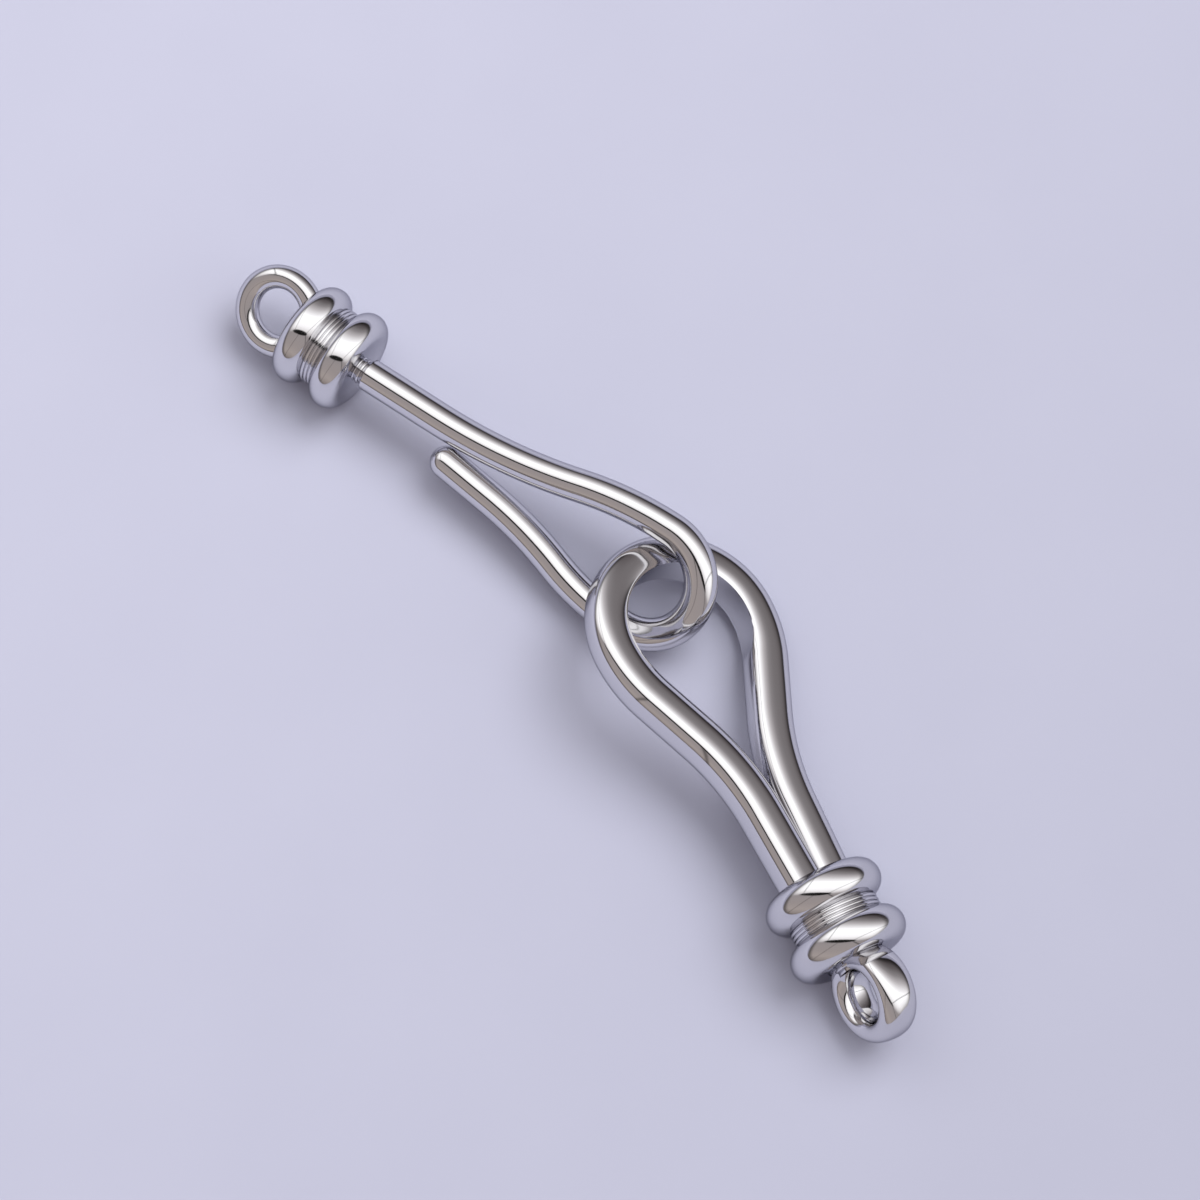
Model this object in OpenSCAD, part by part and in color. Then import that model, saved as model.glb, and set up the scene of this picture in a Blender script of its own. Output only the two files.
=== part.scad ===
// Hook and eye clasp, lying fastened on a flat surface.
// Each half is drawn in its own frame, with X along its axis from the collar towards the link and Z square to
// the plane of its bent wire, and is then laid down with its own lean and pitch.
// Lengths are in millimetres and angles in degrees.

/* [End rings] */
// Radius of the hole in both end rings
ring_hole_r = 1.12; // [0.9:0.02:1.4]
// Thickness of both end rings across the hole's wall
ring_wall = 1.1; // [0.8:0.05:1.3]
// Depth of the eye half's end ring along its hole
eye_ring_depth = 1.85; // [1.4:0.05:2.2]

/* [Hook collar] */
// Outer radius of the two discs on the hook half
hook_disc_r = 2.5; // [2.2:0.05:2.9]
// Radius of the discs' rounded rims on the hook half
hook_rim_r = 0.78; // [0.65:0.01:0.9]
// Distance between the two discs' middles on the hook half
hook_disc_step = 2.1; // [1.95:0.05:2.5]
// Radius at the bottom of the groove between the discs on the hook half
hook_groove_r = 1.9; // [1.7:0.05:2.1]
// Radius of the thin neck between the collar and the stem
neck_r = 0.55; // [0.45:0.01:0.65]
// Length of the thin neck
neck_len = 0.35; // [0.25:0.05:0.6]

/* [Hook wire] */
// Diameter of the hook's round wire
wire_d = 1.55; // [1.4:0.05:1.6]
// Straight length of the stem after its clean end face
stem_len = 3.97; // [3.5:0.05:4.5]
// Radius of the stem's first bend, away from the return leg
stem_out_r = 29.2; // [26:0.2:32]
// Radius of the stem's second bend, into the bow
stem_in_r = 18; // [16:0.2:20]
// Radius of the hook's bow, to the middle of the wire
hook_bow_r = 2.63; // [2.55:0.01:2.8]
// Radius of the return leg's first bend, towards the stem
return_in_r = 12.2; // [11:0.1:14]
// Radius of the return leg's second bend, back along the stem
return_out_r = 18.6; // [17:0.1:20]
// Straight length at the hook's tip
tip_len = 2.58; // [1.5:0.05:2.8]

/* [Eye collar] */
// Outer radius of the two discs on the eye half
eye_disc_r = 2.78; // [2.6:0.02:3.1]
// Radius of the discs' rounded rims on the eye half
eye_rim_r = 0.88; // [0.75:0.01:0.98]
// Distance between the two discs' middles on the eye half
eye_disc_step = 2.36; // [2.2:0.02:2.7]
// Radius at the bottom of the groove between the discs on the eye half
eye_groove_r = 2.05; // [1.85:0.05:2.25]
// Radius of the bead between the collar and the end ring
bead_r = 1.0; // [0.8:0.05:1.2]
// Length of the bead
bead_len = 0.45; // [0.35:0.05:0.7]

/* [Eye loop] */
// Distance between the flats of the loop's wire
leg_side = 1.96; // [1.8:0.02:2.0]
// Radius of the round corners between the flats, about the wire's middle
leg_round_r = 1.13; // [1.08:0.01:1.18]
// Distance of each leg's middle from the axis at the collar
leg_offset = 0.7; // [0.66:0.01:0.8]
// Straight length of each leg where the two run side by side
leg_len = 4.35; // [4:0.05:4.8]
// Radius of each leg's first bend, outwards
leg_out_r = 11.4; // [10.5:0.1:12.5]
// Radius of each leg's second bend, at the shoulder
shoulder_r = 5.82; // [5:0.02:6.6]
// Radius of the loop's bow, to the middle of the wire
eye_bow_r = 3.75; // [3.65:0.01:3.9]
// Radius of the flat inner wall of the bow
bow_wall_r = 3.1; // [2.95:0.01:3.15]

/* [Link at rest] */
// Slack between the inner walls of the two bows along the clasp
link_slack = 1.91; // [1.75:0.01:2.05]
// Sideways place of the eye's bow from the hook's bow
link_side = -0.33; // [-0.4:0.01:-0.25]
// Bend between the two halves seen from above
link_bend = 26.46; // [22:0.1:30]
// Lean of the hook's plane
hook_lean = 36; // [35:0.5:38]
// Rise of the hook's stem
hook_pitch = 1.2; // [1:0.1:1.5]
// Lean of the eye's plane
eye_lean = 25; // [24:0.5:26]

/* [Hidden] */
$fn = 72;

// Fine ribs in the grooves and on the necks
rib_d = 0.17;
rib_step = 0.2;
groove_ribs = 3;

// The hook ring's round inside is opened to a short true bore
bore_land = 0.02;
// Clear space between the ring's hole and the disc beside it
hole_clear = 0.03;

// Runs of wire stop this far short of a join, where a ball or sleeve of this much more thickness takes over
join_gap = 0.05;
join_swell = 0.03;
sleeve_len = 0.3;

// Headings of the stem, and the angles of the bends
stem_heading = 3;
stem_out_a = 14.7;
stem_in_a = 15.3;
return_in_a = 19.9;
return_out_a = 13.1;
leg_heading = 2.6;
leg_out_a = 23;
leg_turn = leg_heading + leg_out_a;

// Ends of the collars along each half's axis
hook_face = hook_disc_step / 2 + hook_rim_r;
eye_face = eye_disc_step / 2 + eye_rim_r;
stem_start = hook_face + neck_len;
leg_start = eye_disc_step / 2;
stem_side = 0.03;

hook_ring_r = ring_hole_r - bore_land + ring_wall / 2;
hook_ring_x = -(hook_face + hole_clear + ring_hole_r);
eye_ring_r = ring_hole_r + ring_wall / 2;
eye_ring_x = -(eye_face + bead_len + ring_hole_r);

// A place is [x, y, heading] in the plane of a half
function after_line(p, l) = [p[0] + l * cos(p[2]), p[1] + l * sin(p[2]), p[2]];
function after_bend(p, r, a) = [
    p[0] + sign(a) * r * (sin(p[2] + a) - sin(p[2])),
    p[1] + sign(a) * r * (cos(p[2]) - cos(p[2] + a)),
    p[2] + a
];

// Straight run between a leg's two bends, so that the bow closes on the axis
shoulder_run = (eye_bow_r - leg_offset - leg_len * sin(leg_heading)
    - leg_out_r * (cos(leg_heading) - cos(leg_turn))
    - shoulder_r * (1 - cos(leg_turn))) / sin(leg_turn);

stem_end = after_bend(after_bend(after_line([stem_start, stem_side, stem_heading], stem_len),
    stem_out_r, stem_out_a), stem_in_r, -stem_in_a);
hook_bow = [stem_end[0] + hook_bow_r * sin(stem_end[2]), stem_end[1] - hook_bow_r * cos(stem_end[2])];
leg_end = after_bend(after_line(after_bend(after_line([leg_start, leg_offset, leg_heading], leg_len),
    leg_out_r, leg_out_a), shoulder_run), shoulder_r, -leg_turn);
eye_bow = [leg_end[0], 0];

// Plan place of a point of a half's plane once the half leans, rises and is turned
function laid(p, lean, pitch, yaw) =
    let (up = p[1] * sin(lean), x = p[0] * cos(pitch) - up * sin(pitch), y = p[1] * cos(lean))
    [x * cos(yaw) - y * sin(yaw), x * sin(yaw) + y * cos(yaw)];

// Height of a collar's axis when its lowest disc touches the surface
function rest_height(r, rim, step, pitch) =
    (r - rim) * cos(pitch) + rim + step / 2 * abs(sin(pitch));

hook_yaw = link_bend / 2;
eye_yaw = 180 - link_bend / 2;
// Place of the hook's bow, which sets the whole clasp about the middle of its box
link_at = [-0.19, 1.263];
hook_at = link_at - laid(hook_bow, hook_lean, hook_pitch, hook_yaw);
eye_at = link_at + [hook_bow_r - wire_d / 2 + bow_wall_r - link_slack, link_side]
    - laid(eye_bow, eye_lean, 0, eye_yaw);

module wire_section() {
    circle(d = wire_d);
}

module leg_section(swell) {
    intersection() {
        square([leg_side + swell, leg_side + swell], center = true);
        circle(d = 2 * leg_round_r + swell);
    }
}

module section(kind) {
    if (kind == "wire")
        wire_section();
    else
        leg_section(0);
}

// A straight run, with what follows placed at its end
module line_run(l, kind) {
    translate([join_gap, 0, 0])
        rotate([90, 0, 90])
            linear_extrude(l - 2 * join_gap)
                section(kind);
    translate([l, 0, 0]) {
        join(kind);
        children();
    }
}

// A bend to the left for a positive angle and to the right for a negative one
module bend_run(r, a, kind, joined = true) {
    side = sign(a);
    short = join_gap / r * 180 / PI;
    mirror([0, side < 0 ? 1 : 0, 0])
        translate([0, r, 0])
            rotate([0, 0, short - 90])
                rotate_extrude(angle = abs(a) - 2 * short)
                    translate([r, 0])
                        section(kind);
    translate([0, side * r, 0])
        rotate([0, 0, a])
            translate([0, -side * r, 0]) {
                if (joined)
                    join(kind);
                children();
            }
}

// Two runs of the round wire meet in a ball, and two of the square wire in a short sleeve, hardly thicker
module join(kind) {
    if (kind == "wire")
        rotate([0, 90, 0])
            sphere(d = wire_d + join_swell);
    else
        translate([-sleeve_len / 2, 0, 0])
            rotate([90, 0, 90])
                linear_extrude(sleeve_len)
                    leg_section(join_swell);
}

// Half profile of a collar: two discs with round rims and a ribbed groove between them
module collar_profile(r, rim, step, groove_r) {
    for (side = [-1, 1])
        translate([0, side * step / 2]) {
            translate([0, -rim])
                square([r - rim, 2 * rim]);
            translate([r - rim, 0])
                circle(r = rim);
        }
    translate([0, -step / 2])
        square([groove_r, step]);
    ribs_profile(groove_r, 0, groove_ribs);
}

// Fine round ribs about a place along the axis
module ribs_profile(r, at, count) {
    for (i = [0 : count - 1])
        translate([r, at + (i - (count - 1) / 2) * rib_step])
            circle(d = rib_d);
}

module about_axis() {
    rotate([0, 90, 0])
        rotate_extrude()
            children();
}

module hook_collar() {
    about_axis() {
        collar_profile(hook_disc_r, hook_rim_r, hook_disc_step, hook_groove_r);
        translate([0, hook_face - 0.1])
            square([neck_r, neck_len + 0.3]);
        ribs_profile(neck_r, hook_face + neck_len / 2, 1);
    }
}

module eye_collar() {
    about_axis() {
        collar_profile(eye_disc_r, eye_rim_r, eye_disc_step, eye_groove_r);
        translate([0, -eye_face - bead_len + 0.15])
            square([bead_r, bead_len]);
        ribs_profile(bead_r, -eye_face - bead_len / 2 + 0.05, 1);
    }
}

module hook_ring() {
    translate([hook_ring_x, 0, 0])
        rotate_extrude()
            translate([hook_ring_r, 0])
                circle(d = ring_wall);
}

module eye_ring() {
    translate([eye_ring_x, 0, 0])
        rotate([90, 0, 0])
            rotate_extrude()
                translate([eye_ring_r, 0]) {
                    square([ring_wall, eye_ring_depth - ring_wall], center = true);
                    for (side = [-1, 1])
                        translate([0, side * (eye_ring_depth - ring_wall) / 2])
                            circle(d = ring_wall);
                }
}

module hook_wire() {
    translate([stem_start, stem_side, 0])
        rotate([0, 0, stem_heading])
            line_run(stem_len, "wire")
            bend_run(stem_out_r, stem_out_a, "wire")
            bend_run(stem_in_r, -stem_in_a, "wire")
            bend_run(hook_bow_r, -180, "wire")
            bend_run(return_in_r, -return_in_a, "wire")
            bend_run(return_out_r, return_out_a, "wire")
            line_run(tip_len, "wire");
}

module leg(bow_angle) {
    translate([leg_start, leg_offset, 0])
        rotate([0, 0, leg_heading])
            line_run(leg_len, "leg")
            bend_run(leg_out_r, leg_out_a, "leg")
            line_run(shoulder_run, "leg")
            bend_run(shoulder_r, -leg_turn, "leg")
            if (bow_angle != 0)
                bend_run(eye_bow_r, bow_angle, "leg", joined = false);
}

module eye_loop() {
    difference() {
        union() {
            leg(-180);
            mirror([0, 1, 0])
                leg(0);
        }
        translate([eye_bow[0], 0, -leg_side])
            cylinder(h = 2 * leg_side, r = bow_wall_r);
    }
}

module hook_half() {
    color("silver")
        translate([hook_at[0], hook_at[1],
            rest_height(hook_disc_r, hook_rim_r, hook_disc_step, hook_pitch)])
            rotate([hook_lean, -hook_pitch, hook_yaw]) {
                difference() {
                    union() {
                        hook_collar();
                        hook_ring();
                    }
                    translate([hook_ring_x, 0, -ring_wall])
                        cylinder(h = 2 * ring_wall, r = ring_hole_r);
                }
                hook_wire();
            }
}

module eye_half() {
    color("gainsboro")
        translate([eye_at[0], eye_at[1], rest_height(eye_disc_r, eye_rim_r, eye_disc_step, 0)])
            rotate([eye_lean, 0, eye_yaw]) {
                eye_collar();
                eye_ring();
                eye_loop();
            }
}

hook_half();
eye_half();
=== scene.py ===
import math
from types import SimpleNamespace

import bmesh
import bpy
from mathutils import Matrix, Vector


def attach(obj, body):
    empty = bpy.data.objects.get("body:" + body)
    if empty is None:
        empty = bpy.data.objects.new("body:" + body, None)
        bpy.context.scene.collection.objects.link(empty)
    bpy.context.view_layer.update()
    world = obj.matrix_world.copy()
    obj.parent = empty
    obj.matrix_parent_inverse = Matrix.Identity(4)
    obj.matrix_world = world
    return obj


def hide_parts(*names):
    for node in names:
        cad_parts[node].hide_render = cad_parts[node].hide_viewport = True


bl_info = {
    "name": "Hook and Eye Clasp",
    "version": (1, 0, 0),
    "blender": (4, 5, 0),
    "location": "View3D > Sidebar > Clasp",
    "description": "Dresses a fastened hook and eye clasp in polished plated metal",
    "category": "Object",
}

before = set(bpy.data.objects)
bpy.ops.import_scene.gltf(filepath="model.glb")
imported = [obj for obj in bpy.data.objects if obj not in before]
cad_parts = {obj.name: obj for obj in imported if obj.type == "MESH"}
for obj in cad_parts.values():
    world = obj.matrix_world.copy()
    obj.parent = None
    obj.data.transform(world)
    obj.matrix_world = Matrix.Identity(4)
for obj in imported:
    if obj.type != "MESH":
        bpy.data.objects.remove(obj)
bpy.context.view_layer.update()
MM = 0.001


# Sizes and colours that a user may change


def hex_colour(code):
    """Linear colour of an sRGB hex value."""
    out = []
    for i in (1, 3, 5):
        c = int(code[i : i + 2], 16) / 255
        out.append(c / 12.92 if c <= 0.04045 else ((c + 0.055) / 1.055) ** 2.4)
    return (*out, 1.0)


def size_prop(name, about, value):
    """A length that a user may change, given here in millimetres."""
    return bpy.props.FloatProperty(
        name=name, description=about, default=value * MM, min=0.01 * MM, unit="LENGTH", precision=5
    )


def angle_prop(name, about, value):
    """An angle that a user may change, given here in degrees."""
    return bpy.props.FloatProperty(
        name=name, description=about, default=math.radians(value), subtype="ANGLE"
    )


def place_prop(name, about, value):
    """A point that a user may change, given here in millimetres."""
    return bpy.props.FloatVectorProperty(
        name=name,
        description=about,
        default=[c * MM for c in value],
        subtype="TRANSLATION",
        unit="LENGTH",
    )


def colour_prop(name, about, code):
    """A colour that a user may change, given here as an sRGB hex value."""
    return bpy.props.FloatVectorProperty(
        name=name, description=about, default=hex_colour(code), size=4, min=0.0, max=1.0, subtype="COLOR"
    )


def in_millimetres(settings):
    """A group's values, with its lengths in millimetres."""
    out = {}
    for name in settings.__annotations__:
        value = getattr(settings, name)
        rule = settings.bl_rna.properties[name]
        if rule.unit == "LENGTH":
            value = Vector(value) / MM if rule.array_length else value / MM
        out[name] = value
    return SimpleNamespace(**out)


class ClaspHookSizes(bpy.types.PropertyGroup):
    """Sizes and resting place of the hook half."""

    disc_r: size_prop("Disc radius", "Outer radius of the collar's two discs", 2.5)
    rim_r: size_prop("Rim radius", "Radius of the discs' rounded rims", 0.78)
    disc_step: size_prop("Disc step", "Distance between the two discs' middles", 2.1)
    groove_r: size_prop("Groove radius", "Radius at the bottom of the groove", 1.9)
    neck_r: size_prop("Neck radius", "Radius of the neck between collar and stem", 0.55)
    neck_len: size_prop("Neck length", "Length of the neck", 0.35)
    wire_d: size_prop("Wire diameter", "Diameter of the hook's round wire", 1.55)
    lean: angle_prop("Lean", "Lean of the hook's plane about its axis", 36.0)
    pitch: angle_prop("Rise", "Rise of the stem from the collar", 1.2)
    yaw: angle_prop("Turn", "Turn of the axis seen from above", 13.23)
    at: place_prop("Place", "Middle of the collar at rest", (-18.0645, -2.7637, 2.5216))


class ClaspEyeSizes(bpy.types.PropertyGroup):
    """Sizes and resting place of the eye half."""

    disc_r: size_prop("Disc radius", "Outer radius of the collar's two discs", 2.78)
    rim_r: size_prop("Rim radius", "Radius of the discs' rounded rims", 0.88)
    disc_step: size_prop("Disc step", "Distance between the two discs' middles", 2.36)
    groove_r: size_prop("Groove radius", "Radius at the bottom of the groove", 2.05)
    bead_r: size_prop("Bead radius", "Radius of the bead before the end ring", 1.0)
    bead_len: size_prop("Bead length", "Length of the bead", 0.45)
    leg_side: size_prop("Leg side", "Distance between the flats of the loop's wire", 1.96)
    leg_cushion: bpy.props.FloatProperty(
        name="Leg cushion",
        description="How far the wire's four sides are flattened, from 2 for round",
        default=2.7,
        min=2.0,
    )
    bow_wall_r: size_prop("Bow wall", "Radius of the flat inner wall of the bow", 3.1)
    lean: angle_prop("Lean", "Lean of the loop's plane about its axis", 25.0)
    yaw: angle_prop("Turn", "Turn of the axis seen from above", 166.77)
    at: place_prop("Place", "Middle of the collar at rest", (17.3587, -2.4768, 2.78))


class ClaspFinish(bpy.types.PropertyGroup):
    """Metal and stage colours, and the end ring that both halves share."""

    metal: colour_prop("Metal", "Colour of the polished plating", "#dcdbdd")
    # The floor's two colours are painted shade: a lighter and a darker tone across the paper stand in for
    # light falling off
    floor_painted_lit: colour_prop("Floor, light side", "Colour of the paper at the top left", "#bdbed1")
    floor_painted_shade: colour_prop("Floor, deep side", "Colour of the paper at the bottom right", "#afb0c2")
    ring_hole_r: size_prop("Ring hole", "Radius of the hole in both end rings", 1.12)
    ring_wall: size_prop("Ring wall", "Thickness of both end rings", 1.1)
    eye_ring_depth: size_prop("Eye ring depth", "Depth of the eye half's ring along its hole", 1.85)


# Shapes of a half in millimetres, in its own plane: X along its axis from the collar to the link, Y left

# How finely round things are cut: steps of a wire's way, faces about the axis, and points of an arc
BEND_STEP = 0.12
STRAIGHT_STEP = 3 * BEND_STEP
COLLAR_FACES = 160
HOOK_NECK_FACES = 64
EYE_BEAD_FACES = 96
RING_FACES = 144
WIRE_FACES = 96
RIM_POINTS = 40
RIB_POINTS = 8
RING_WIRE_POINTS = 48
RING_CUSHION_POINTS = 56
TIP_POINTS = 12

# Points closer than this many metres are one point, and edges above this many degrees stay crisp
WELD = 1e-8
CRISP = 35.0

# Fine ribs turned into the grooves and necks
RIB_R = 0.085
RIB_STEP = 0.2
GROOVE_RIBS = 3
HOOK_NECK_RIBS = 3
EYE_BEAD_RIBS = 2

# A disc's outer face is dished: how deep, the shares of the way out to its rim where the flat middle ends
# and where the face has risen, and the share of the depth that is left there
DISH = 0.12
DISH_FLAT = 0.45
DISH_RISE = 0.75
DISH_LEFT = 0.45

# How far the hook's neck reaches into its collar and its stem, how far the eye's bead reaches into its
# collar, and how far short of the ring's hole the bead stops
HOOK_NECK_IN = 0.4
HOOK_NECK_OUT = 0.25
EYE_BEAD_IN = 0.5
EYE_BEAD_SHORT = 0.15

# How far off the collar the hook's ring has its hole's edge, how far its round wire narrows the hole, and
# how far the eye's ring is flattened, from 2 for round
HOOK_RING_OFF = 0.03
HOOK_RING_WAIST = 0.02
EYE_RING_CUSHION = 2.4

# The hook's wire leaves its neck a little to the left. Its way is the stem, the stem's two slow bends,
# the bow, the return's two bends and the tip: straight runs (length,) and bends (radius, degrees left)
STEM_SIDE = 0.03
STEM_TURN = 3.0
HOOK_WAY = ((3.97,), (29.2, 14.7), (18.0, -15.3), (2.63, -180.0), (12.2, -19.9), (18.6, 13.1), (2.58,))
# The stem's clean face: how far it stands back, its chamfer, and the share of the wire's width it keeps
STEM_BACK = 0.001
STEM_CHAMFER = 0.05
STEM_FACE = 0.93
# The ball at the hook's tip ends in a face of this share of the wire's width
TIP_FACE = 0.02

# A leg of the loop: its distance from the axis in the collar, its first turn and straight run, the bend
# that spreads it, the bend that brings it parallel to the axis, and the bow
LEG_SIDE = 0.7
LEG_TURN = 2.6
LEG_RUN = 4.35
SPREAD_R = 11.4
SPREAD_TURN = 25.6
CLOSE_R = 5.82
BOW_R = 3.75
# The flat inner wall starts this far before the bow's middle
BOW_WALL_BACK = 2.6


def path(start, runs):
    """Points (x, y, heading) from a start along straight runs (length,) and bends (radius, degrees left)."""
    pts = [start]
    for run in runs:
        x, y, h = pts[-1]
        if len(run) == 1:
            n = max(2, int(run[0] / STRAIGHT_STEP))
            for i in range(1, n + 1):
                t = run[0] * i / n
                pts.append((x + t * math.cos(h), y + t * math.sin(h), h))
        else:
            r, a = run[0], math.radians(run[1])
            side = 1 if a > 0 else -1
            n = max(4, int(abs(a) * r / BEND_STEP))
            for i in range(1, n + 1):
                b = h + a * i / n
                across = side * r * (math.sin(b) - math.sin(h))
                pts.append((x + across, y + side * r * (math.cos(h) - math.cos(b)), b))
    return pts


def rest_matrix(lean, pitch, yaw, at):
    """Turns a half's own frame, in millimetres, into its resting place, in metres."""
    turn = Matrix.Rotation(yaw, 4, "Z") @ Matrix.Rotation(-pitch, 4, "Y") @ Matrix.Rotation(lean, 4, "X")
    return Matrix.Translation(at * MM) @ turn @ Matrix.Scale(MM, 4)


def revolve(bm, profile, place, faces=COLLAR_FACES, closed=False):
    """Adds a surface of revolution about X from (along, radius) points; a radius of 0 makes a pole."""
    rings = []
    for along, r in profile:
        if r == 0:
            rings.append([bm.verts.new(place @ Vector((along, 0, 0)))])
            continue
        ring = []
        for k in range(faces):
            a = 2 * math.pi * k / faces
            ring.append(bm.verts.new(place @ Vector((along, r * math.cos(a), r * math.sin(a)))))
        rings.append(ring)
    pairs = list(zip(rings, rings[1:]))
    if closed:
        pairs.append((rings[-1], rings[0]))
    for a, b in pairs:
        for k in range(faces):
            n = (k + 1) % faces
            corners = [a[k % len(a)], b[k % len(b)], b[n % len(b)], a[n % len(a)]]
            corners = [v for i, v in enumerate(corners) if v not in corners[:i]]
            if len(corners) > 2:
                bm.faces.new(corners)


def arc(cx, cy, r, start, end, n):
    """Points (along, radius) on an arc, angles in degrees from the axis direction."""
    angles = [math.radians(start + (end - start) * i / n) for i in range(n + 1)]
    return [(cx + r * math.cos(a), cy + r * math.sin(a)) for a in angles]


def collar_profile(disc_r, rim_r, step, groove_r):
    """Two round-rimmed discs with a finely ribbed groove between them."""
    mid = disc_r - rim_r
    half = step / 2
    face = -half - rim_r
    side = [(face + DISH, 0.0), (face + DISH, mid * DISH_FLAT), (face + DISH * DISH_LEFT, mid * DISH_RISE)]
    foot = math.degrees(math.asin((groove_r - mid) / rim_r))
    pts = side + arc(-half, mid, rim_r, 180, foot, RIM_POINTS)
    first = -(GROOVE_RIBS - 1) * RIB_STEP / 2
    for i in range(GROOVE_RIBS):
        pts += arc(first + i * RIB_STEP, groove_r, RIB_R, 180, 0, RIB_POINTS)
    pts += arc(half, mid, rim_r, 180 - foot, 0, RIM_POINTS)
    return pts + [(-a, r) for a, r in reversed(side)]


def neck_profile(start, end, r, ribs):
    """A short neck with fine round ribs."""
    pts = [(start, 0.0), (start, r)]
    for i in range(ribs):
        pts += arc(start + (end - start) * (i + 1) / (ribs + 1), r, RIB_R, 180, 0, RIB_POINTS)
    return pts + [(end, r), (end, 0.0)]


def cushion_section(wide, tall, cushion):
    """A superellipse's points from its half width and half height; a cushion of 2 is an ellipse."""
    out = []
    for k in range(RING_CUSHION_POINTS):
        a = 2 * math.pi * (k + 0.5) / RING_CUSHION_POINTS
        c, s = math.cos(a), math.sin(a)
        x = wide * math.copysign(abs(c) ** (2 / cushion), c)
        out.append((x, tall * math.copysign(abs(s) ** (2 / cushion), s)))
    return out


def torus(bm, place, major, section):
    """A ring about the place's X axis from a closed (along, outward) section."""
    revolve(bm, [(a, major + o) for a, o in section], place, RING_FACES, closed=True)


def bm_object(name, bm, material):
    """Ends a bmesh as a plain object with smooth faces and its real edges kept crisp."""
    bmesh.ops.remove_doubles(bm, verts=bm.verts, dist=WELD)
    bmesh.ops.recalc_face_normals(bm, faces=bm.faces)
    mesh = bpy.data.meshes.new(name)
    bm.to_mesh(mesh)
    bm.free()
    mesh.shade_smooth()
    mesh.set_sharp_from_angle(angle=math.radians(CRISP))
    mesh.materials.append(material)
    obj = bpy.data.objects.new(name, mesh)
    bpy.context.collection.objects.link(obj)
    return obj


# Wire drawn along a curve by Geometry Nodes


def add_node(tree, kind, inputs=None, stops=(), **settings):
    """Adds a node with its settings, in rows of twelve.

    An input takes a value, or a socket to link from. Stops are a colour ramp's (place, hex value) pairs.
    """
    made = tree.nodes.new(kind)
    made.location = (180 * (len(tree.nodes) % 12), -220 * (len(tree.nodes) // 12))
    for key, value in settings.items():
        setattr(made, key, value)
    for key, value in (inputs or {}).items():
        if isinstance(value, bpy.types.NodeSocket):
            tree.links.new(value, made.inputs[key])
        else:
            made.inputs[key].default_value = value
    if stops:
        band = made.color_ramp.elements
        while len(band) < len(stops):
            band.new(0.5)
        for element, (place, code) in zip(band, stops):
            element.position = place
        for element, (place, code) in zip(band, stops):
            element.color = hex_colour(code)
    return made


def wire_tree(name):
    """Draws wire along a curve, thinned by the curve's radius.

    The wire's section is a superellipse: a Cushion of 2 is round wire, and more flattens its four sides.
    """
    tree = bpy.data.node_groups.new(name, "GeometryNodeTree")
    face = tree.interface
    face.new_socket("Geometry", in_out="INPUT", socket_type="NodeSocketGeometry")
    face.new_socket("Thickness", in_out="INPUT", socket_type="NodeSocketFloat").default_value = 1.55 * MM
    face.new_socket("Cushion", in_out="INPUT", socket_type="NodeSocketFloat").default_value = 2.0
    face.new_socket("Metal", in_out="INPUT", socket_type="NodeSocketMaterial")
    face.new_socket("Geometry", in_out="OUTPUT", socket_type="NodeSocketGeometry")
    given = add_node(tree, "NodeGroupInput").outputs
    ring = add_node(tree, "GeometryNodeCurvePrimitiveCircle", {"Resolution": WIRE_FACES, "Radius": 1.0})
    spot = add_node(tree, "GeometryNodeInputPosition").outputs[0]
    xyz = add_node(tree, "ShaderNodeSeparateXYZ", {0: spot})
    # A point of the circle moves out by (|x|^c + |y|^c)^(-1/c), for a cushion of c
    power = []
    for axis in ("X", "Y"):
        size = add_node(tree, "ShaderNodeMath", {0: xyz.outputs[axis]}, operation="ABSOLUTE").outputs[0]
        raised = add_node(tree, "ShaderNodeMath", {0: size, 1: given["Cushion"]}, operation="POWER")
        power.append(raised.outputs[0])
    total = add_node(tree, "ShaderNodeMath", {0: power[0], 1: power[1]}, operation="ADD").outputs[0]
    root = add_node(tree, "ShaderNodeMath", {0: -1.0, 1: given["Cushion"]}, operation="DIVIDE").outputs[0]
    reach = add_node(tree, "ShaderNodeMath", {0: total, 1: root}, operation="POWER").outputs[0]
    half = add_node(tree, "ShaderNodeMath", {0: given["Thickness"], 1: 0.5}, operation="MULTIPLY").outputs[0]
    out = add_node(tree, "ShaderNodeMath", {0: reach, 1: half}, operation="MULTIPLY").outputs[0]
    moved = add_node(tree, "ShaderNodeVectorMath", {0: spot, "Scale": out}, operation="SCALE").outputs[0]
    section = add_node(tree, "GeometryNodeSetPosition", {"Geometry": ring.outputs[0], "Position": moved})
    upright = add_node(tree, "GeometryNodeSetCurveNormal", {"Curve": given["Geometry"]}, mode="Z_UP")
    thin = add_node(tree, "GeometryNodeInputRadius")
    sweep = add_node(
        tree,
        "GeometryNodeCurveToMesh",
        {
            "Curve": upright.outputs[0],
            "Profile Curve": section.outputs[0],
            "Scale": thin.outputs[0],
            "Fill Caps": True,
        },
    )
    real = add_node(tree, "GeometryNodeRealizeInstances", {"Geometry": sweep.outputs[0]}).outputs[0]
    coat = add_node(tree, "GeometryNodeSetMaterial", {"Geometry": real, "Material": given["Metal"]})
    add_node(tree, "NodeGroupOutput", {"Geometry": coat.outputs[0]})
    return tree


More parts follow.
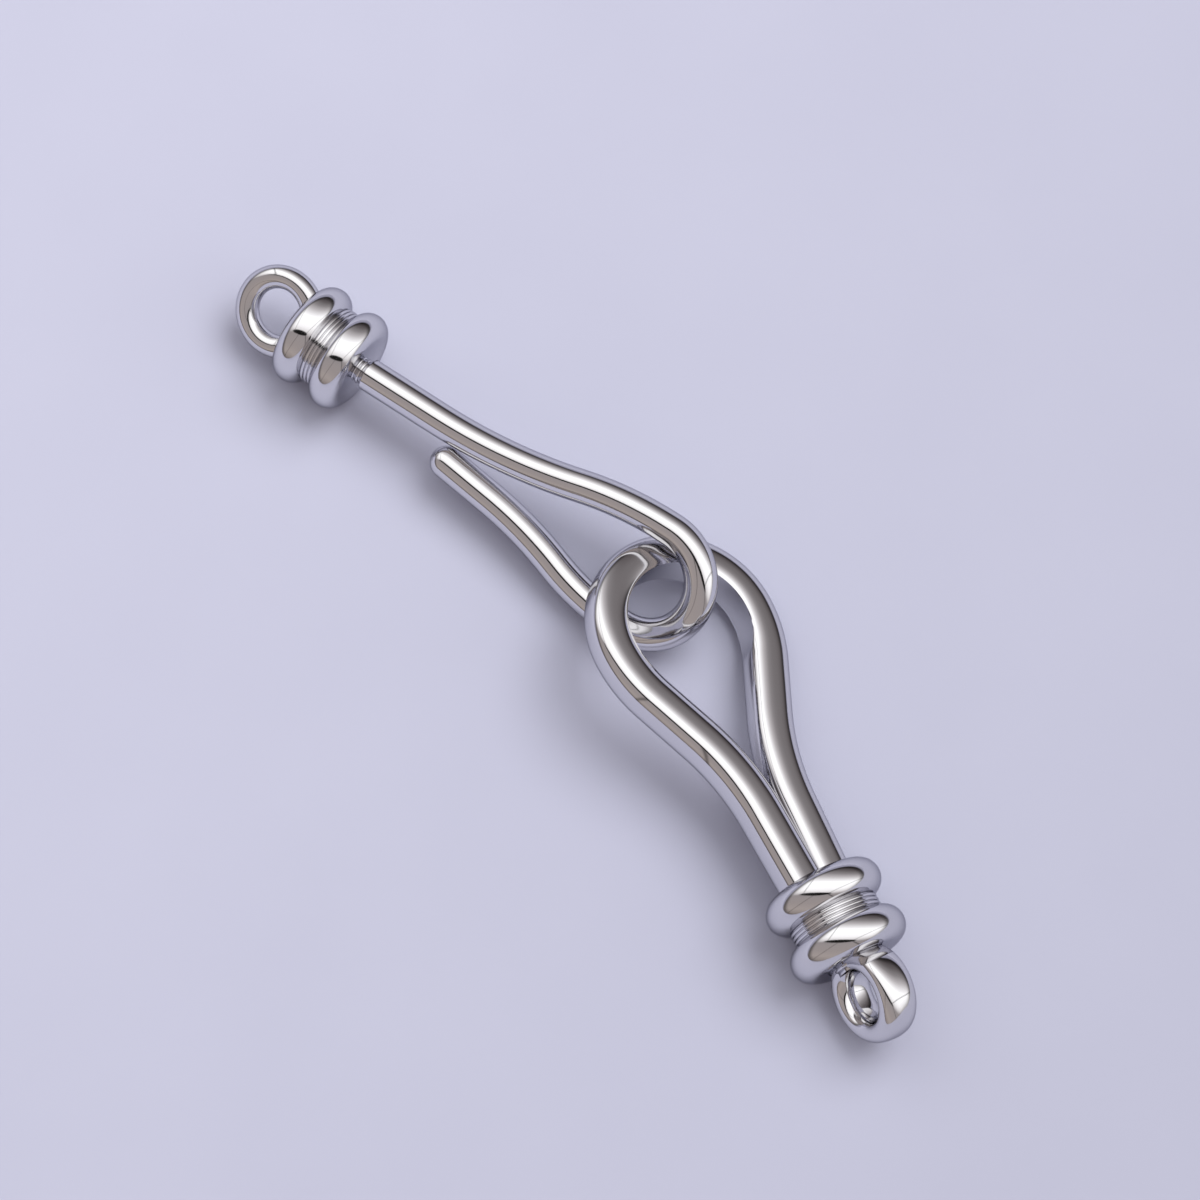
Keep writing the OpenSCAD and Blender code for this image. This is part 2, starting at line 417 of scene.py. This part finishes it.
def drawn_wire(name, points, radii, thickness, cushion, metal):
    """Wire of a thickness along points of a half's own plane, in millimetres, as a plain mesh in metres."""
    curve = bpy.data.curves.new(name, "CURVE")
    curve.dimensions = "3D"
    line = curve.splines.new("POLY")
    line.points.add(len(points) - 1)
    for spot, p, r in zip(line.points, points, radii):
        spot.co = (p[0] * MM, p[1] * MM, 0.0, 1.0)
        spot.radius = r
    holder = bpy.data.objects.new(name, curve)
    bpy.context.collection.objects.link(holder)
    mod = holder.modifiers.new("wire", "NODES")
    mod.node_group = wire_tree(name)
    given = {"Thickness": thickness * MM, "Cushion": cushion, "Metal": metal}
    for item in mod.node_group.interface.items_tree:
        if item.name in given:
            mod[item.identifier] = given[item.name]
    bpy.context.view_layer.update()
    graph = bpy.context.evaluated_depsgraph_get()
    mesh = bpy.data.meshes.new_from_object(holder.evaluated_get(graph), depsgraph=graph)
    bpy.data.objects.remove(holder)
    bpy.data.curves.remove(curve)
    return mesh


def add_wire(bm, mesh, place, reshape=None):
    """Adds a drawn wire to a bmesh, after an optional change to each point, in millimetres."""
    part = bmesh.new()
    part.from_mesh(mesh)
    bmesh.ops.remove_doubles(part, verts=part.verts, dist=WELD)
    for v in part.verts:
        p = v.co / MM
        v.co = place @ (reshape(p) if reshape else p)
    part.to_mesh(mesh)
    part.free()
    bm.from_mesh(mesh)
    bpy.data.meshes.remove(mesh)


# Materials

PLATING = "Polished rhodium plate"
# The paper's two tones, painted shade across the sheet, lie this many metres from its middle
PAPER_SHADE_FALL = 0.036


def rhodium_plate():
    """Brass casting, hand polished and plated with rhodium.

    The plating is bright and neutral. Buffing leaves it nearly a mirror, with a slight waviness that bends
    the edges of reflections and very fine wipe marks that soften them a little.
    """
    finish = bpy.context.scene.clasp_finish
    mat = bpy.data.materials.new(PLATING)
    mat.use_nodes = True
    tree = mat.node_tree
    shader = tree.nodes["Principled BSDF"]
    shader.inputs["Base Color"].default_value = finish.metal
    shader.inputs["Metallic"].default_value = 1.0
    shader.inputs["Specular Tint"].default_value = hex_colour("#bcbcc2")
    where = add_node(tree, "ShaderNodeTexCoord").outputs["Object"]
    # Buffing waves of about 1.6 mm
    wave = add_node(tree, "ShaderNodeTexNoise", {"Vector": where, "Scale": 600.0, "Detail": 1.0}).outputs[0]
    # Wipe marks of some hundredths of a millimetre are drawn 0.1 mm apart, so that they show
    grain = add_node(tree, "ShaderNodeTexNoise", {"Vector": where, "Scale": 9000.0, "Detail": 3.0}).outputs[0]
    low = add_node(
        tree,
        "ShaderNodeBump",
        {"Height": wave, "Strength": 0.25, "Distance": 0.01 * MM},
    )
    fine = add_node(
        tree,
        "ShaderNodeBump",
        {"Height": grain, "Normal": low.outputs[0], "Strength": 0.1, "Distance": 0.002 * MM},
    )
    tree.links.new(fine.outputs[0], shader.inputs["Normal"])
    # Handling leaves the polish between 0.05 and 0.1
    soft = add_node(
        tree,
        "ShaderNodeMapRange",
        {"Value": wave, "From Min": 0.3, "From Max": 0.7, "To Min": 0.05, "To Max": 0.1},
    )
    tree.links.new(soft.outputs[0], shader.inputs["Roughness"])
    return mat


def the_metal():
    """The one plating that both halves share."""
    return bpy.data.materials.get(PLATING) or rhodium_plate()


def studio_paper():
    """Matt studio paper: a pale cool sheet with no shine, the faintest mottling and painted shade across its
    width.
    """
    finish = bpy.context.scene.clasp_finish
    mat = bpy.data.materials.new("Matt studio paper")
    mat.use_nodes = True
    tree = mat.node_tree
    shader = tree.nodes["Principled BSDF"]
    shader.inputs["Roughness"].default_value = 0.9
    shader.inputs["Specular IOR Level"].default_value = 0.1
    where = add_node(tree, "ShaderNodeTexCoord").outputs["Object"]
    # Painted shade: the sheet's colour darkens over its width from the view's top left to its bottom right,
    # standing in for light falling off
    right, up, back = view_axes()
    shade_way = (right - up).normalized()
    along = add_node(tree, "ShaderNodeVectorMath", {0: where, 1: shade_way}, operation="DOT_PRODUCT")
    deep = add_node(
        tree,
        "ShaderNodeMapRange",
        {"Value": along.outputs["Value"], "From Min": -PAPER_SHADE_FALL, "From Max": PAPER_SHADE_FALL},
    )
    sheet = add_node(
        tree,
        "ShaderNodeMix",
        {0: deep.outputs[0], 6: finish.floor_painted_lit, 7: finish.floor_painted_shade},
        data_type="RGBA",
    )
    # Pulp clouds of about 10 mm
    cloud = add_node(tree, "ShaderNodeTexNoise", {"Vector": where, "Scale": 90.0, "Detail": 3.0})
    worn = add_node(
        tree,
        "ShaderNodeMix",
        {0: cloud.outputs[0], 6: sheet.outputs[2], 7: hex_colour("#f8f8f9")},
        data_type="RGBA",
        blend_type="MULTIPLY",
    )
    tree.links.new(worn.outputs[2], shader.inputs["Base Color"])
    return mat


# The two halves


class CLASP_OT_hook_half(bpy.types.Operator):
    """Build the hook half: end ring, collar, neck and bent wire."""

    bl_idname = "clasp.hook_half"
    bl_label = "Hook half"

    def execute(self, context):
        hook = in_millimetres(context.scene.clasp_hook)
        shared = in_millimetres(context.scene.clasp_finish)
        metal = the_metal()
        place = rest_matrix(hook.lean, hook.pitch, hook.yaw, hook.at)
        face = hook.disc_step / 2 + hook.rim_r
        stem = face + hook.neck_len
        bm = bmesh.new()
        revolve(bm, collar_profile(hook.disc_r, hook.rim_r, hook.disc_step, hook.groove_r), place)
        neck = neck_profile(face - HOOK_NECK_IN, stem + HOOK_NECK_OUT, hook.neck_r, HOOK_NECK_RIBS)
        revolve(bm, neck, place, HOOK_NECK_FACES)
        tube = shared.ring_wall / 2
        section = arc(0, 0, tube, 0, 360, RING_WIRE_POINTS)[:-1]
        middle = Matrix.Translation((-(face + HOOK_RING_OFF + shared.ring_hole_r), 0, 0))
        across = middle @ Matrix.Rotation(math.radians(90), 4, "Y")
        torus(bm, place @ across, shared.ring_hole_r - HOOK_RING_WAIST + tube, section)
        pts = path((stem, STEM_SIDE, math.radians(STEM_TURN)), HOOK_WAY)
        radii = [1.0] * len(pts)
        # The tip rounds off as half a ball
        x, y, h = pts[-1]
        for i in range(1, TIP_POINTS + 1):
            a = math.pi / 2 * i / TIP_POINTS
            d = hook.wire_d / 2 * math.sin(a)
            pts.append((x + d * math.cos(h), y + d * math.sin(h), h))
            radii.append(max(math.cos(a), TIP_FACE))
        # The stem's clean face has a slight chamfer
        x, y, h = pts[0]
        pts[:1] = [(x - STEM_BACK, y, h), (x + STEM_CHAMFER, y + STEM_CHAMFER * math.sin(h), h)]
        radii[:1] = [STEM_FACE, 1.0]
        add_wire(bm, drawn_wire("hook_wire", pts, radii, hook.wire_d, 2.0, metal), place)
        obj = bm_object("hook_metal", bm, metal)
        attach(obj, "hook_half")
        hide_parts("hook_half")
        return {"FINISHED"}


class CLASP_OT_eye_half(bpy.types.Operator):
    """Build the eye half: end ring, bead, collar and drop-shaped loop."""

    bl_idname = "clasp.eye_half"
    bl_label = "Eye half"

    def execute(self, context):
        eye = in_millimetres(context.scene.clasp_eye)
        shared = in_millimetres(context.scene.clasp_finish)
        metal = the_metal()
        place = rest_matrix(eye.lean, 0.0, eye.yaw, eye.at)
        face = eye.disc_step / 2 + eye.rim_r
        bm = bmesh.new()
        revolve(bm, collar_profile(eye.disc_r, eye.rim_r, eye.disc_step, eye.groove_r), place)
        bead = neck_profile(
            -face - eye.bead_len + EYE_BEAD_SHORT, -face + EYE_BEAD_IN, eye.bead_r, EYE_BEAD_RIBS
        )
        revolve(bm, bead, place, EYE_BEAD_FACES)
        tube = shared.ring_wall / 2
        section = cushion_section(shared.eye_ring_depth / 2, tube, EYE_RING_CUSHION)
        middle = Matrix.Translation((-(face + eye.bead_len + shared.ring_hole_r), 0, 0))
        across = middle @ Matrix.Rotation(math.radians(90), 4, "Z")
        torus(bm, place @ across, shared.ring_hole_r + tube, section)
        # The spread leg runs straight for as long as it takes to reach the bow's width
        turn = math.radians(SPREAD_TURN)
        first = math.radians(LEG_TURN)
        run = (
            BOW_R
            - LEG_SIDE
            - LEG_RUN * math.sin(first)
            - SPREAD_R * (math.cos(first) - math.cos(turn))
            - CLOSE_R * (1 - math.cos(turn))
        ) / math.sin(turn)
        way = [(LEG_RUN,), (SPREAD_R, SPREAD_TURN - LEG_TURN), (run,), (CLOSE_R, -SPREAD_TURN)]
        leg = path((eye.disc_step / 2, LEG_SIDE, first), way)
        bow = path(leg[-1], [(BOW_R, -180.0)])
        bow_x = leg[-1][0]
        pts = leg + bow[1:] + [(x, -y, h) for x, y, h in reversed(leg[:-1])]

        def flat_wall(p):
            """Presses the bow's inner side out to a flat wall about the bow's middle."""
            d = math.hypot(p.x - bow_x, p.y)
            if p.x > bow_x - BOW_WALL_BACK and d < eye.bow_wall_r:
                k = eye.bow_wall_r / d
                return Vector((bow_x + (p.x - bow_x) * k, p.y * k, p.z))
            return p

        loop = drawn_wire("loop", pts, [1.0] * len(pts), eye.leg_side, eye.leg_cushion, metal)
        add_wire(bm, loop, place, flat_wall)
        obj = bm_object("eye_metal", bm, metal)
        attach(obj, "eye_half")
        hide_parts("eye_half")
        return {"FINISHED"}


# The stage

# The photo is taken from 73 degrees up, and its right lies 50.29 degrees anticlockwise of the part's X
# axis. The aim and the camera's distance are in millimetres, and the lens and the photo's side in pixels
VIEW_TURN = math.radians(50.29)
VIEW_UP = math.radians(73.0)
VIEW_AIM = (-0.975, -0.8226, 1.76)
VIEW_FAR = 209.1
LENS_PX = 4600.0
PHOTO_PX = 1200.0
SENSOR = 36.0
CLIP_NEAR = 0.01
CLIP_FAR = 10.0

# The floor's half side in metres, and how many millimetres it lies below what rests on it
FLOOR_HALF = 1.5
FLOOR_DROP = 0.02

# The lamp's way from the clasp as shares of the photo's right, up and back, its distance and size in
# metres, and its power in watts
LAMP_WAY = (0.6, 0.75, 1.1)
LAMP_FAR = 3.0
LAMP_SIZE = 2.1
LAMP_POWER = 57.5

# The tent's key way, as shares of the photo's right and up
TENT_KEY = (0.5, 0.87)
TENT_GLOW = 1.5
# The tent's tones along the key way, from the dim side over the bright wall to the dark beyond it, as
# places from 0 to 1 across the mirror ball: first through the ball's middle and then beside it
TENT_MIDDLE = (
    (0.14, "#4a413e"),
    (0.20, "#837a76"),
    (0.26, "#9a918d"),
    (0.33, "#918987"),
    (0.40, "#8f8887"),
    (0.44, "#8a8484"),
    (0.48, "#d8d5d5"),
    (0.52, "#f4f3f3"),
    (0.58, "#ffffff"),
    (0.63, "#ffffff"),
    (0.67, "#dddbdc"),
    (0.71, "#b4b0b1"),
    (0.76, "#827e7f"),
    (0.81, "#5a5556"),
    (0.86, "#3a3536"),
    (0.92, "#282324"),
)
TENT_SIDE = (
    (0.14, "#4a413e"),
    (0.30, "#8a8281"),
    (0.50, "#9c9696"),
    (0.68, "#7d7778"),
    (0.80, "#474142"),
    (0.90, "#262122"),
)
# How far from the middle the side's tones start and have taken over
SIDE_FROM = 0.5
SIDE_TO = 0.8
# The seams' two ends on the mirror ball, from its middle, how far from its line a seam is darkest and
# where its soft edge ends, and the light left in it
SEAMS = (
    ((-0.10, -0.30), (-0.30, -0.72)),
    ((-0.09, 0.38), (0.50, 0.62)),
    ((-0.09, -0.28), (0.45, -0.66)),
    ((-0.14, 0.05), (-0.62, 0.20)),
)
SEAM_CORE = 0.004
SEAM_EDGE = 0.018
SEAM_LIGHT = 0.4
# The lens slot's middle and half sizes, the shares of them where its soft edge starts and ends, and the
# light left in it
SLOT_AT = (-0.09, 0.05)
SLOT_SIZE = (0.045, 0.42)
SLOT_CORE = 0.85
SLOT_EDGE = 1.1
SLOT_LIGHT = 0.02
# The tent's open foot: the middle of its edge's circle, the radii where the hem starts to darken, where
# it ends and where only paper shows, the light left at the hem, and the paper's tone
FOOT_AT = (0.04, 0.0)
HEM_FROM = 0.60
HEM_TO = 0.69
PAPER_FROM = 0.72
HEM_LIGHT = 0.3
PAPER_TONE = "#aeadc1"


def view_axes():
    """The photo's right, its up and the way back to the camera, as directions of the part's frame."""
    right = Vector((math.cos(VIEW_TURN), math.sin(VIEW_TURN), 0.0))
    level = math.cos(VIEW_UP)
    back = Vector((math.sin(VIEW_TURN) * level, -math.cos(VIEW_TURN) * level, math.sin(VIEW_UP)))
    return right, back.cross(right), back


def seam_light(tree, flat, start, end):
    """The light that a seam leaves: dark near the straight line between two places of the mirror ball."""
    run = (Vector(end) - Vector(start)).to_3d()
    rel = add_node(tree, "ShaderNodeVectorMath", {0: flat, 1: (*start, 0.0)}, operation="SUBTRACT").outputs[0]
    share = run / run.length_squared
    along = add_node(tree, "ShaderNodeVectorMath", {0: rel, 1: share}, operation="DOT_PRODUCT")
    held = add_node(tree, "ShaderNodeClamp", {"Value": along.outputs["Value"]}).outputs[0]
    near = add_node(tree, "ShaderNodeVectorMath", {0: run, "Scale": held}, operation="SCALE").outputs[0]
    apart = add_node(tree, "ShaderNodeVectorMath", {0: rel, 1: near}, operation="DISTANCE")
    return add_node(
        tree,
        "ShaderNodeMapRange",
        {
            "Value": apart.outputs["Value"],
            "From Min": SEAM_CORE,
            "From Max": SEAM_EDGE,
            "To Min": SEAM_LIGHT,
            "To Max": 1.0,
        },
        interpolation_type="SMOOTHSTEP",
    ).outputs[0]


def slot_light(tree, flat):
    """The light that the lens slot leaves: a dark sliver of the mirror ball."""
    middle = (-SLOT_AT[0], -SLOT_AT[1], 0.0)
    rel = add_node(tree, "ShaderNodeVectorMath", {0: flat, 1: middle}, operation="ADD").outputs[0]
    share = (1 / SLOT_SIZE[0], 1 / SLOT_SIZE[1], 0.0)
    share = add_node(tree, "ShaderNodeVectorMath", {0: rel, 1: share}, operation="MULTIPLY").outputs[0]
    far = add_node(tree, "ShaderNodeVectorMath", {0: share}, operation="LENGTH").outputs["Value"]
    return add_node(
        tree,
        "ShaderNodeMapRange",
        {"Value": far, "From Min": SLOT_CORE, "From Max": SLOT_EDGE, "To Min": SLOT_LIGHT, "To Max": 1.0},
        interpolation_type="SMOOTHSTEP",
    ).outputs[0]


def light_tent():
    """The light tent that a polished object mirrors, laid out as a mirror ball shows it.

    The key way leads to the bright wall at the photo's upper right, and the cross way is square to it. The
    tent's seams and the slot for the lens are the dark lines that run over every polished bead.
    """
    right, up, back = view_axes()
    key = (right * TENT_KEY[0] + up * TENT_KEY[1]).normalized()
    cross = back.cross(key)
    world = bpy.data.worlds.new("light_tent")
    world.use_nodes = True
    tree = world.node_tree
    # A ball's normal lies halfway between the way to what it mirrors and the way to the camera
    way = add_node(tree, "ShaderNodeTexCoord").outputs["Generated"]
    both = add_node(tree, "ShaderNodeVectorMath", {0: way, 1: back}, operation="ADD").outputs[0]
    ball = add_node(tree, "ShaderNodeVectorMath", {0: both}, operation="NORMALIZE").outputs[0]
    x = add_node(tree, "ShaderNodeVectorMath", {0: ball, 1: key}, operation="DOT_PRODUCT")
    y = add_node(tree, "ShaderNodeVectorMath", {0: ball, 1: cross}, operation="DOT_PRODUCT")
    x, y = x.outputs["Value"], y.outputs["Value"]
    flat = add_node(tree, "ShaderNodeCombineXYZ", {0: x, 1: y}).outputs[0]
    place = add_node(tree, "ShaderNodeMapRange", {"Value": x, "From Min": -1.0, "From Max": 1.0}).outputs[0]
    middle = add_node(tree, "ShaderNodeValToRGB", {0: place}, TENT_MIDDLE).outputs[0]
    side = add_node(tree, "ShaderNodeValToRGB", {0: place}, TENT_SIDE).outputs[0]
    off = add_node(tree, "ShaderNodeMath", {0: y}, operation="ABSOLUTE").outputs[0]
    away = add_node(
        tree,
        "ShaderNodeMapRange",
        {"Value": off, "From Min": SIDE_FROM, "From Max": SIDE_TO},
        interpolation_type="SMOOTHSTEP",
    ).outputs[0]
    walls = add_node(tree, "ShaderNodeMix", {0: away, 6: middle, 7: side}, data_type="RGBA").outputs[2]
    # The tent darkens to its hem, and beyond that open foot the pale paper shows
    middle_of_foot = (-FOOT_AT[0], -FOOT_AT[1], 0.0)
    foot = add_node(tree, "ShaderNodeVectorMath", {0: flat, 1: middle_of_foot}, operation="ADD").outputs[0]
    foot = add_node(tree, "ShaderNodeVectorMath", {0: foot}, operation="LENGTH").outputs["Value"]
    hem = add_node(
        tree,
        "ShaderNodeMapRange",
        {"Value": foot, "From Min": HEM_FROM, "From Max": HEM_TO, "To Min": 1.0, "To Max": HEM_LIGHT},
        interpolation_type="SMOOTHSTEP",
    ).outputs[0]
    glow = TENT_GLOW
    for light in [*(seam_light(tree, flat, *ends) for ends in SEAMS), slot_light(tree, flat), hem]:
        glow = add_node(tree, "ShaderNodeMath", {0: glow, 1: light}, operation="MULTIPLY").outputs[0]
    lit = add_node(tree, "ShaderNodeVectorMath", {0: walls, "Scale": glow}, operation="SCALE").outputs[0]
    edge = add_node(
        tree,
        "ShaderNodeMapRange",
        {"Value": foot, "From Min": HEM_TO, "From Max": PAPER_FROM},
        interpolation_type="SMOOTHSTEP",
    ).outputs[0]
    shown = add_node(tree, "ShaderNodeMix", {0: edge, 6: lit, 7: hex_colour(PAPER_TONE)}, data_type="RGBA")
    tree.links.new(shown.outputs[2], tree.nodes["Background"].inputs["Color"])
    return world


class CLASP_OT_stage(bpy.types.Operator):
    """Set the pale floor, the soft lights, the surroundings and the camera."""

    bl_idname = "clasp.stage"
    bl_label = "Floor, lights and camera"

    def execute(self, context):
        scene = context.scene
        bm = bmesh.new()
        bmesh.ops.create_grid(bm, x_segments=1, y_segments=1, size=FLOOR_HALF)
        floor = bm_object("floor", bm, studio_paper())
        floor.location.z = -FLOOR_DROP * MM
        right, up, back = view_axes()
        aim = Vector(VIEW_AIM) * MM
        # A broad lamp over the photo's upper right lights the paper and throws the soft shadows
        lamp = bpy.data.lights.new("key", "AREA")
        lamp.shape = "DISK"
        lamp.size = LAMP_SIZE
        lamp.energy = LAMP_POWER
        key = bpy.data.objects.new("key", lamp)
        way = (right * LAMP_WAY[0] + up * LAMP_WAY[1] + back * LAMP_WAY[2]).normalized()
        key.location = aim + way * LAMP_FAR
        key.rotation_mode = "QUATERNION"
        key.rotation_quaternion = way.to_track_quat("Z", "Y")
        key.visible_camera = False
        key.visible_glossy = False
        bpy.context.collection.objects.link(key)
        scene.world = light_tent()
        scene.view_settings.view_transform = "Standard"
        lens = bpy.data.cameras.new("camera")
        lens.sensor_fit = "HORIZONTAL"
        lens.sensor_width = SENSOR
        lens.lens = SENSOR * LENS_PX / PHOTO_PX
        lens.clip_start = CLIP_NEAR
        lens.clip_end = CLIP_FAR
        camera = bpy.data.objects.new("camera", lens)
        camera.location = aim + back * VIEW_FAR * MM
        camera.rotation_mode = "QUATERNION"
        camera.rotation_quaternion = Matrix((right, up, back)).transposed().to_quaternion()
        bpy.context.collection.objects.link(camera)
        scene.camera = camera
        return {"FINISHED"}


class CLASP_PT_panel(bpy.types.Panel):
    """Lists the clasp's pieces, sizes and stage."""

    bl_label = "Clasp"
    bl_idname = "CLASP_PT_panel"
    bl_space_type = "VIEW_3D"
    bl_region_type = "UI"
    bl_category = "Clasp"

    def draw(self, context):
        col = self.layout.column()
        for settings, operator in (
            (context.scene.clasp_hook, "clasp.hook_half"),
            (context.scene.clasp_eye, "clasp.eye_half"),
            (context.scene.clasp_finish, "clasp.stage"),
        ):
            for name in settings.__annotations__:
                col.prop(settings, name)
            col.operator(operator)


CLASSES = (
    ClaspHookSizes,
    ClaspEyeSizes,
    ClaspFinish,
    CLASP_OT_hook_half,
    CLASP_OT_eye_half,
    CLASP_OT_stage,
    CLASP_PT_panel,
)


def register():
    for cls in CLASSES:
        bpy.utils.register_class(cls)
    bpy.types.Scene.clasp_hook = bpy.props.PointerProperty(type=ClaspHookSizes)
    bpy.types.Scene.clasp_eye = bpy.props.PointerProperty(type=ClaspEyeSizes)
    bpy.types.Scene.clasp_finish = bpy.props.PointerProperty(type=ClaspFinish)


def unregister():
    del bpy.types.Scene.clasp_finish
    del bpy.types.Scene.clasp_eye
    del bpy.types.Scene.clasp_hook
    for cls in reversed(CLASSES):
        bpy.utils.unregister_class(cls)


def main():
    register()
    bpy.ops.clasp.hook_half()
    bpy.ops.clasp.eye_half()
    bpy.ops.clasp.stage()


if __name__ == "__main__":
    main()
